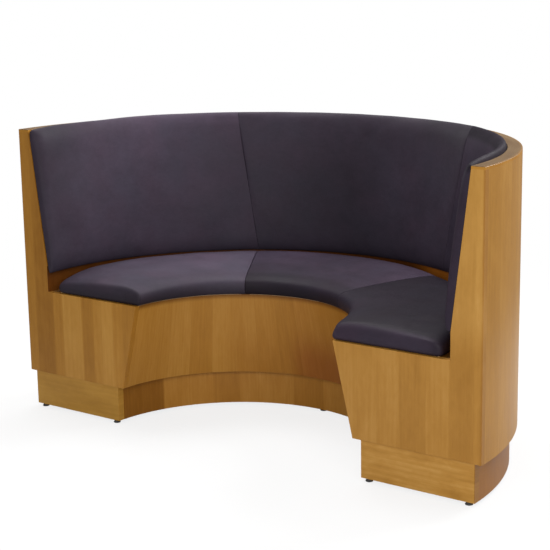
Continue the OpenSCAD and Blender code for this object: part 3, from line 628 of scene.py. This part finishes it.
def grid_cap(loop, counts):
    """A grid of points inside a loop of four sides whose opposite sides have equal counts, by Coons' blend."""
    n0, n1 = counts[0], counts[1]
    p = np.asarray(loop)
    m = len(p)
    s0 = p[:n0 + 1]
    s1 = p[n0:n0 + n1 + 1]
    s2 = p[n0 + n1:2 * n0 + n1 + 1][::-1]
    s3 = np.vstack([p[2 * n0 + n1:], p[:1]])[::-1]
    u = np.linspace(0, 1, n0 + 1)[:, None, None]
    v = np.linspace(0, 1, n1 + 1)[None, :, None]
    return ((1 - v) * s0[:, None] + v * s2[:, None] + (1 - u) * s3[None] + u * s1[None]
            - ((1 - u) * (1 - v) * p[0] + u * (1 - v) * s0[-1] + (1 - u) * v * s3[-1] + u * v * s1[-1]))


def cushion_mesh(name, rings, counts, bulge0=0.0, bulge1=0.0):
    """A closed mesh from rings of points, with a grid over each end."""
    rings = np.asarray(rings)
    nu, nv = rings.shape[:2]
    verts = list(rings.reshape(-1, 3))
    faces = []
    for i in range(nu - 1):
        for j in range(nv):
            k = (j + 1) % nv
            faces.append((i * nv + j, i * nv + k, (i + 1) * nv + k, (i + 1) * nv + j))
    n0, n1 = counts[0], counts[1]
    for which, base, out in ((0, 0, bulge0), (1, (nu - 1) * nv, bulge1)):
        loop = rings[0 if which == 0 else -1]
        grid = grid_cap(loop, counts)
        away = rings[0].mean(0) - rings[1].mean(0) if which == 0 else rings[-1].mean(0) - rings[-2].mean(0)
        away /= np.linalg.norm(away)
        ids = np.full((n0 + 1, n1 + 1), -1)
        for a in range(n0 + 1):
            ids[a, 0] = base + a
            ids[a, n1] = base + (2 * n0 + n1 - a) % nv
        for b in range(n1 + 1):
            ids[n0, b] = base + n0 + b
            ids[0, b] = base + (nv - b) % nv
        for a in range(1, n0):
            for b in range(1, n1):
                ids[a, b] = len(verts)
                u, v = a / n0, b / n1
                verts.append(grid[a, b] + away * out * (16 * u * (1 - u) * v * (1 - v)) ** 0.5)
        for a in range(n0):
            for b in range(n1):
                f = (ids[a, b], ids[a + 1, b], ids[a + 1, b + 1], ids[a, b + 1])
                faces.append(f[::-1] if which == 0 else f)
    me = bpy.data.meshes.new(name)
    me.from_pydata([tuple(v) for v in verts], [], [tuple(int(i) for i in f) for f in faces])
    me.validate()
    me.update()
    o = bpy.data.objects.new(name, me)
    scene.collection.objects.link(o)
    return o


def get_co(me):
    co = np.zeros(len(me.vertices) * 3)
    me.vertices.foreach_get("co", co)
    return co.reshape(-1, 3)


def set_co(me, co):
    me.vertices.foreach_set("co", np.ascontiguousarray(co, dtype=np.float64).ravel())
    me.update()


def outward(o):
    """Turns the faces so that the volume is positive."""
    me = o.data
    me.calc_loop_triangles()
    co = get_co(me)
    tri = np.array([t.vertices for t in me.loop_triangles])
    vol = np.einsum("ij,ij->i", co[tri[:, 0]], np.cross(co[tri[:, 1]], co[tri[:, 2]])).sum()
    if vol < 0:
        me.flip_normals()


def inflate(o, pin, pressure, cap, stiffness=30.0, bending=4.0, frames=20, passes=16):
    """Blows the cover up with Blender's cloth, holds it where pin is 1, and keeps the result on the mesh."""
    base = get_co(o.data)
    group = o.vertex_groups.new(name="held")
    for value in np.unique(pin):
        if value > 0:
            group.add([int(i) for i in np.nonzero(pin == value)[0]], float(value), "REPLACE")
    md = o.modifiers.new("cloth", "CLOTH")
    st = md.settings
    st.quality = 5
    st.mass = 0.35
    st.air_damping = 4.0
    st.tension_stiffness = st.compression_stiffness = stiffness
    st.shear_stiffness = stiffness * 0.4
    st.bending_stiffness = bending
    st.use_pressure = True
    st.uniform_pressure_force = pressure
    st.effector_weights.gravity = 0.0
    st.vertex_group_mass = "held"
    md.collision_settings.use_collision = False
    md.collision_settings.use_self_collision = False
    md.point_cache.frame_start, md.point_cache.frame_end = 1, frames
    for f in range(1, frames + 1):
        scene.frame_set(f)
    dg = bpy.context.evaluated_depsgraph_get()
    blown = get_co(o.evaluated_get(dg).data)
    o.modifiers.remove(md)
    o.vertex_groups.remove(group)
    scene.frame_set(1)
    # how far the cover has swollen outwards at each point, evened out between neighbours
    out = vertex_normals(o.data)
    rise = np.einsum("ij,ij->i", blown - base, out)
    ends = np.zeros(len(o.data.edges) * 2, dtype=np.int64)
    o.data.edges.foreach_get("vertices", ends)
    a, b = ends[::2], ends[1::2]
    count = np.bincount(ends, minlength=len(base)).astype(float)
    for _ in range(passes):
        near = np.bincount(a, rise[b], len(base)) + np.bincount(b, rise[a], len(base))
        rise = 0.5 * rise + 0.5 * near / count
        rise[pin >= 1] = 0.0
    rise = np.clip(rise, 0.0, None)
    set_co(o.data, base + out * (cap * np.tanh(rise / cap))[:, None])


def subdivide(o, levels=1):
    md = o.modifiers.new("subdivide", "SUBSURF")
    md.levels = md.render_levels = levels
    dg = bpy.context.evaluated_depsgraph_get()
    me = bpy.data.meshes.new_from_object(o.evaluated_get(dg))
    o.modifiers.remove(md)
    old = o.data
    o.data = me
    me.name = o.name
    bpy.data.meshes.remove(old)
    for p in o.data.polygons:
        p.use_smooth = True


def value_noise(p, seed):
    """Smooth noise in -1..1 from points, made of a few fixed sine waves with turned directions."""
    out = np.zeros(len(p))
    for k in range(1, 6):
        a = seed * 1.7 + k * 2.399
        d = np.array([math.cos(a) * math.cos(k + seed), math.sin(a), math.sin(k * 1.3 + seed) * 0.8])
        d /= np.linalg.norm(d)
        out += np.sin(p @ d * (0.75 + 0.21 * k) * 2 * math.pi + a * 3.1)
    return out / 5


def vertex_normals(me):
    n = np.zeros(len(me.vertices) * 3)
    me.vertices.foreach_get("normal", n)
    return n.reshape(-1, 3)


def to_polar(co):
    yc = co[:, 1] - CY
    return np.hypot(co[:, 0], yc), np.degrees(np.arctan2(yc, co[:, 0]))


def from_polar(r, deg, z):
    a = np.radians(deg)
    return np.stack([r * np.cos(a), r * np.sin(a) + CY, z], -1)


def seam_at(which, r, z):
    """Angle of a back seam at a radius and height: it leans outwards as it rises."""
    lean = np.degrees(np.arcsin(np.clip((z - KINK) * LEAN / r, -0.5, 0.5)))
    return 60 - lean if which == 60 else 120 + lean


END_Y = 0.0015                               # the covered ends stand this far inside the end panels' face


def end_angle(r):
    return np.degrees(np.arcsin(END_Y / r))


# --- back -----------------------------------------------------------------
SEAM_ROUND = 0.0008                          # how far a back seam draws the vinyl in

BACK_FRONT = np.array([
    (729.2, 477.6), (724.4, 483.6), (721.2, 492.5), (719.7, 505), (719.6, 522), (721.6, 552), (726.5, 610), (734.0, 680), (742.6, 750), (751.0, 815),
    (756.6, 858), (760.0, 880), (764.6, 900), (771.0, 916.5)]) / 1000
BACK_TOP = np.array([(771.0, 916.5), (778.8, 927.6), (788.0, 931.4)]) / 1000
BACK_REAR = np.array([(788.0, 931.4), (794.4, 926.0), (796.9, 916.0), (796.9, 908.2), (742.6, 475.4)]) / 1000
BACK_BOTTOM = np.array([(742.6, 475.4), (738.6, 474.7), (734.0, 475.2), (729.2, 477.6)]) / 1000
BACK_H = 0.456


def back_rear(z):
    return np.interp(z, [0.4754, 0.9082, 0.94], [0.7426, 0.7969, 0.7969])


def back_panel(side):
    counts = (50, 4)
    whole = np.vstack([BACK_BOTTOM[1:-1], BACK_FRONT, BACK_TOP[1:], BACK_REAR[1:3]])
    smooth = spline(whole)
    # cut the smooth outline at the corners between the section's sides
    cut = lambda p: int(np.argmin(np.linalg.norm(smooth - p, axis=1)))
    a, b, c = cut(BACK_FRONT[0]), cut(BACK_FRONT[-1]), cut(BACK_TOP[-1])
    front = smooth[a:b + 1]
    top = smooth[b:c + 1]
    rear = np.vstack([smooth[c:], BACK_REAR[3:]])
    bottom = np.vstack([BACK_BOTTOM[:1], smooth[:a + 1]])
    loop = closed_profile([front, top, rear, bottom], [counts[0], counts[1], counts[0], counts[1]])
    r, z = loop[:, 0], loop[:, 1]
    rear_r = back_rear(z)
    gap = 0.0002
    if side == "centre":
        a0, a1 = seam_at(60, r, z), seam_at(120, r, z)
        length = math.radians(60) * 0.75
    else:
        a0, a1 = end_angle(r), seam_at(60, r, z)
        length = math.radians(57) * 0.75
    seam_cuts = [0.0, 0.0004, 0.0012, 0.0026, 0.0048, 0.0082, 0.0135]
    end_cuts = [0.0, 0.0008, 0.0024, 0.005, 0.0085, 0.0125, 0.0175, 0.0235, 0.031]
    d = stations(length, 0.0095, seam_cuts if side == "centre" else end_cuts, seam_cuts)
    depth = rear_r - r
    high = np.clip((z - 0.4754) / 0.45, 0, 1)
    rings = []
    for k in d:
        u = k / length
        angle = a0 + (a1 - a0) * u
        shift = np.degrees(gap / r)
        sunk = drop(length - k, SEAM_ROUND)
        fall = sunk
        inset = 0.0
        if side == "centre":
            angle = angle + shift * (1 - 2 * u)
            sunk = sunk + drop(k, SEAM_ROUND)
            fall = sunk
            flat = sunk / 0.036
        else:
            # the free end is rounded off, more so towards the top; the roll dips towards it, and the
            # vinyl turns in behind so that a dark line parts it from the wood
            angle = angle - shift * u
            reach = 0.016 + 0.024 * high ** 1.5
            flat = sunk / 0.036 + (0.30 + 0.34 * high) * drop(k / reach, 1.0)
            fall = fall + drop(k, 0.0115) + 0.0125 * math.exp(-k / 0.055)
            inset = drop(k, 0.0045)
        back = rear_r - inset
        rr = back - np.maximum(depth - inset, 0) * (1 - np.minimum(flat, 0.9))
        zz = 0.4754 + (z - 0.4754) * (1 - fall / BACK_H)
        # the lower roll hangs a little lower towards the left end
        hang = {"left": 0.0087 + 0.0058 * (1 - u) + 0.0035 * math.exp(-k / 0.10), "centre": 0.0020 + 0.0067 * u ** 0.6,
                "right": 0.0020 * u}[side]
        zz = zz - hang * (1 - np.clip((zz - 0.4754) / 0.085, 0, 1)) ** 2 * np.clip((0.7412 - rr) / 0.007, 0, 1)
        # the top roll is a little slacker towards the left end, and fuller at the right
        slack = {"left": float(np.interp(k, [0.0, 0.05, 0.15, 0.26, 0.33, 0.40, 0.46], [0.0020, 0.0045, 0.0058, 0.0055, 0.0034, 0.0010, 0.0])),
                 "centre": -0.0025 * max(0.0, 1 - u / 0.3), "right": -0.0025 * min(1.0, k / 0.05)}[side]
        zz = zz - slack * np.clip((zz - 0.80) / 0.12, 0, 1) ** 2
        rings.append(from_polar(rr, angle, zz))
    o = cushion_mesh(f"back_cushion_{side}", rings, counts, 0.0012 if side != "centre" else 0.0)
    if side == "left":
        co = get_co(o.data)
        co[:, 0] *= -1
        set_co(o.data, co)
    outward(o)
    co = get_co(o.data)
    rad, ang = to_polar(co)
    zz = co[:, 2]
    # held against the board, under the roll's rear, along the lower edge and in the seams
    pin = np.zeros(len(co))
    behind = back_rear(zz) - rad
    pin[behind < 0.0025] = 1
    pin[zz < 0.4775] = 1
    for which in (60, 120):
        dist = np.abs(np.radians(ang - seam_at(which, rad, zz))) * rad
        pin[dist < 0.0012] = 1
    inflate(o, pin, 2.0, 0.0030, bending=10.0, passes=30)
    subdivide(o)
    finish_cover(o, [60, 120], lambda rad, ang, zz, which: np.abs(np.radians(ang - seam_at(which, rad, zz))) * rad, 3.0 if side == "left" else 5.0)
    return o


# --- seat -----------------------------------------------------------------
SEAT_FRONT = np.array([(362.6, 396.5), (357.6, 400.0), (354.4, 407.0), (352.8, 416.0), (352.6, 425.5), (354.8, 435.0), (360.4, 442.0), (369.0, 446.8)]) / 1000
SEAT_TOP = np.array([(369.0, 446.8), (383, 451.2), (410, 455.2), (443, 459.0), (500, 463.4), (560, 467.2), (620, 469.8),
                     (662, 470.2), (688, 467.6), (702.0, 460.5)]) / 1000
SEAT_REAR = np.array([(702.0, 460.5), (709.2, 450.5), (712.4, 437), (713.0, 418), (710.6, 404), (705.0, 396.7)]) / 1000
SEAT_H = 0.073


def seat_section(side):
    counts = (7, 38)
    whole = spline(np.vstack([SEAT_FRONT, SEAT_TOP[1:], SEAT_REAR[1:]]))
    cut = lambda p: int(np.argmin(np.linalg.norm(whole - p, axis=1)))
    b, c = cut(SEAT_FRONT[-1]), cut(SEAT_TOP[-1])
    bottom = np.array([whole[-1], whole[0]])
    loop = closed_profile([whole[:b + 1], whole[b:c + 1], whole[c:], bottom], [counts[0], counts[1], counts[0], counts[1]])
    r, z = loop[:, 0], loop[:, 1]
    half = 0.05
    ref = 0.533
    if side == "centre":
        a0, a1 = np.full(len(r), 60 + half), np.full(len(r), 120 - half)
    else:
        a0, a1 = end_angle(r), np.full(len(r), 60 - half)
    length = math.radians(60) * ref
    seam_cuts = [0.0, 0.0006, 0.0018, 0.0032, 0.0052, 0.0085, 0.0135]
    end_cuts = [0.0, 0.0009, 0.0026, 0.0052, 0.0088, 0.0132, 0.019, 0.026, 0.034]
    d = stations(length, 0.0095, seam_cuts if side == "centre" else end_cuts, seam_cuts)
    r_mid, r_half = (0.3522 + 0.713) / 2, (0.713 - 0.3522) / 2
    front = np.clip((r_mid - r) / r_half, 0, 1)
    rear = np.clip((r - r_mid) / r_half, 0, 1)
    h = z - 0.3967
    # how much lower the top lies at the rear, towards the free end
    taper_k = np.array([0, 0.011, 0.028, 0.065, 0.102, 0.177, 0.251, 0.40])
    taper = np.array([0.050, 0.0445, 0.0340, 0.0195, 0.0105, 0.0042, 0.0010, 0.0])
    behind = np.clip((r - 0.41) / (0.70 - 0.41), 0, 1) ** 1.25
    corner, slump, soft_edge = (0.026, 1.0, 0.0185) if side == "left" else (0.012, 0.6, 0.0270)
    rings = []
    for k in d:
        u = k / length
        angle = a0 + (a1 - a0) * u
        fall = drop(length - k, 0.0018) + 0.0015 * math.exp(-(length - k) / 0.020)
        pull = drop(length - k, 0.0020)
        if side == "centre":
            fall = fall + drop(k, 0.0018) + 0.0015 * math.exp(-k / 0.020)
            pull = pull + drop(k, 0.0020)
            back_pull = 0.0
            tuck = 0.0
        else:
            # the free end is rounded over, lower towards the back, and tucked in underneath
            fall = fall + (drop(k, soft_edge) + 0.004 * math.exp(-k / 0.07)) * (1 - behind) + slump * np.interp(k, taper_k, taper) * behind
            pull = pull + drop(k, 0.0100 if side == "left" else 0.0040)
            back_pull = drop(k, corner) * rear ** 3
            tuck = 0.010 * math.exp(-(k / 0.012) ** 2) * (1 - np.clip(h / 0.020, 0, 1)) ** 2
        zz = 0.3967 + h * (1 - fall / SEAT_H)
        full = {"left": float(np.interp(k, [0.0, 0.05, 0.12, 0.30, 0.46, 0.55], [1.0, 0.9, 0.45, 0.25, 0.45, 0.95])),
                "centre": float(np.interp(k, [0.0, 0.05, 0.15], [0.0, 0.35, 1.0])), "right": 0.0}[side]
        zz = zz + 0.0055 * full * np.interp(r, [0.48, 0.56, 0.64], [0.0, 0.4, 1.0]) * np.clip(h / 0.06, 0, 1)
        rr = r_mid + (r - r_mid) * (1 - pull / r_half) - back_pull
        if side == "right":
            drawn = np.interp(h, [0.0, 0.010, 0.020, 0.032, 0.050], [0.008, 0.014, 0.019, 0.023, 0.025])
            over = np.interp(h, [0.0, 0.013, 0.023, 0.033, 0.043], [0.010, 0.012, 0.022, 0.036, 0.038])
            rr = rr + drawn * np.exp(-k / over) * np.exp(-np.maximum(r - 0.3526, 0) / 0.055)
        rings.append(from_polar(rr, angle + np.degrees(tuck / rr), zz))
    o = cushion_mesh(f"seat_cushion_{side}", rings, counts, 0.0012 if side != "centre" else 0.0)
    if side == "left":
        co = get_co(o.data)
        co[:, 0] *= -1
        set_co(o.data, co)
    outward(o)
    co = get_co(o.data)
    rad, ang = to_polar(co)
    pin = np.zeros(len(co))
    pin[co[:, 2] < 0.3985] = 1
    pin[rad > 0.7105] = 1
    for which in (60, 120):
        dist = np.abs(np.radians(ang - which)) * rad
        pin[dist < 0.0016] = 1
    inflate(o, pin, 2.5, 0.0035, bending=8.0)
    subdivide(o)
    finish_cover(o, [60, 120], lambda rad, ang, zz, which: np.abs(np.radians(ang - which)) * rad, 1.0 if side == "left" else 2.0)
    return o


def finish_cover(o, seams, distance, seed):
    """Fine puckers along the seams and a faint unevenness of the stuffing."""
    co = get_co(o.data)
    nrm = vertex_normals(o.data)
    rad, ang = to_polar(co)
    near = np.full(len(co), 1.0)
    for which in seams:
        near = np.minimum(near, distance(rad, ang, co[:, 2], which))
    along = np.stack([co[:, 0], co[:, 1], co[:, 2]], 1)
    pucker = value_noise(along / 0.030, seed) * 0.00045 * np.exp(-near / 0.018) * np.clip(near / 0.003, 0, 1)
    soft = value_noise(along / 0.16, seed + 4) * 0.0005
    keep = np.clip((co[:, 2] - 0.399) / 0.012, 0, 1)
    set_co(o.data, co + nrm * ((pucker + soft) * keep)[:, None])


BACK_VINYL = (0.0374, 0.0276, 0.0418)
SEAT_VINYL = (0.0418, 0.0322, 0.0472)
SEAT_VINYL_2 = (0.0418, 0.0294, 0.0474)


def times(base, k):
    return tuple(c * k for c in base)


# lit and shaded copies of one vinyl: each section's tone factor and its painted light and shade stand for the light
# that falls on it
vinyl_back = {"left": vinyl("vinyl_back_left", times(BACK_VINYL, 1.35), 0.0, (118, 160, 0.90, 1.04), light_and_shade=back_left_painted_light),
              "centre": vinyl("vinyl_back_centre", BACK_VINYL, 6.0, (90, 122, 0.95, 1.12), light_and_shade=back_centre_painted_light),
              "right": vinyl("vinyl_back_right", times(BACK_VINYL, 1.15), 3.0, (0.6, 6.0, 0.76, 1.0), light_and_shade=back_right_painted_shade, gloss=0.07)}
vinyl_seat = {"left": vinyl("vinyl_seat_left", times(SEAT_VINYL, 1.45), 4.0, (180, 120, 0.84, 1.22), (0.402, 0.444, 0.55), seat_left_painted_light),
              "centre": vinyl("vinyl_seat_centre", SEAT_VINYL_2, 9.0, (120, 60, 0.90, 1.40), (0.402, 0.444, 0.60), seat_centre_painted_light),
              "right": vinyl("vinyl_seat_right", times(SEAT_VINYL_2, 0.52), 17.0, light_and_shade=seat_right_painted_light)}
for side in ("left", "centre", "right"):
    b = back_panel(side)
    b.data.materials.append(vinyl_back[side])
    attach(b, "root")
    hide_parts(f"back_cover_{side}", f"back_foam_{side}")
    s = seat_section(side)
    s.data.materials.append(vinyl_seat[side])
    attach(s, f"seat_section_{side}")
    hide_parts(f"seat_cover_{side}", f"seat_foam_{side}")


# ------------------------------------------------------------------ stage
def disc(name, radius, z, mat):
    """A flat round sheet on the floor."""
    n = 96
    ring = [(radius * math.cos(2 * math.pi * k / n), radius * math.sin(2 * math.pi * k / n), 0.0) for k in range(n)]
    me = bpy.data.meshes.new(name)
    me.from_pydata(ring, [], [tuple(range(n))])
    me.materials.append(mat)
    o = bpy.data.objects.new(name, me)
    scene.collection.objects.link(o)
    o.location.z = z
    return o


def plain_white(name):
    mat = bpy.data.materials.new(name)
    mat.use_nodes = True
    tree = mat.node_tree
    tree.nodes.clear()
    out = tree.nodes.new("ShaderNodeOutputMaterial")
    em = tree.nodes.new("ShaderNodeEmission")
    em.inputs[0].default_value = (1.0, 1.0, 1.0, 1.0)
    em.inputs[1].default_value = 1.0
    tree.links.new(em.outputs[0], out.inputs[0])
    return mat


def unlit(o):
    """A backdrop that is only looked at: it neither lights nor shades the bench."""
    o.visible_diffuse = o.visible_glossy = o.visible_transmission = o.visible_volume_scatter = o.visible_shadow = False


def make_stage():
    # a pale matt floor round the bench, fading into a white sweep; a duller sheet just below it
    # returns the light, because a studio sweep sends less up from below than a white sheet does
    unlit(disc("floor", 2.6, -0.0002, floor_finish("floor_finish", 0.87, 0.80)))
    disc("floor_bounce", 2.6, -0.0008, floor_finish("floor_bounce", 0.46, 0.0)).visible_camera = False
    white = plain_white("backdrop_white")
    unlit(disc("backdrop_floor", 90.0, -0.004, white))
    me = bpy.data.meshes.new("backdrop_wall")
    rows, cols, radius = 16, 48, 89.0
    verts = [(radius * math.cos(2 * math.pi * c / cols) * math.cos(math.pi / 2 * r / rows),
              radius * math.sin(2 * math.pi * c / cols) * math.cos(math.pi / 2 * r / rows),
              radius * math.sin(math.pi / 2 * r / rows) - 0.01) for r in range(rows) for c in range(cols)]
    verts.append((0, 0, radius - 0.01))
    faces = [(r * cols + c, r * cols + (c + 1) % cols, (r + 1) * cols + (c + 1) % cols, (r + 1) * cols + c)
             for r in range(rows - 1) for c in range(cols)]
    faces += [((rows - 1) * cols + c, (rows - 1) * cols + (c + 1) % cols, rows * cols) for c in range(cols)]
    me.from_pydata(verts, [], faces)
    me.materials.append(white)
    wall = bpy.data.objects.new("backdrop_wall", me)
    scene.collection.objects.link(wall)
    unlit(wall)

    world = bpy.data.worlds.new("studio")
    scene.world = world
    world.use_nodes = True
    bg = world.node_tree.nodes["Background"]
    bg.inputs[0].default_value = (1.0, 1.0, 1.0, 1.0)
    bg.inputs[1].default_value = 0.255

    def softbox(name, turn, rise, power, size=1.8, reach=3.8):
        """A square soft light, turn degrees round from the open side and rise degrees up, aimed at the bench."""
        a, e = math.radians(turn), math.radians(rise)
        place = Vector((math.sin(a) * math.cos(e), -math.cos(a) * math.cos(e), math.sin(e))) * reach + Vector((0, 0, 0.5))
        light = bpy.data.lights.new(name, "AREA")
        light.shape = "SQUARE"
        light.size = size
        light.energy = power
        lo = bpy.data.objects.new(name, light)
        scene.collection.objects.link(lo)
        lo.location = place
        lo.rotation_mode = "QUATERNION"
        lo.rotation_quaternion = (Vector((0, 0, 0.5)) - place).to_track_quat("-Z", "Y")

    softbox("front", 20, 18, 42.6)
    softbox("front_right", 50, 18, 36.5)
    softbox("side_right", 115, 18, 23.5)
    softbox("rear_right", 150, 42, 142)
    softbox("rear_left", 230, 66, 34)
    softbox("side_left_high", -100, 66, 70)
    softbox("side_left_low", -100, 18, 26)


make_stage()
scene.view_settings.view_transform = "Standard"
scene.view_settings.look = "None"
scene.view_settings.exposure = 0.0
scene.view_settings.gamma = 1.0
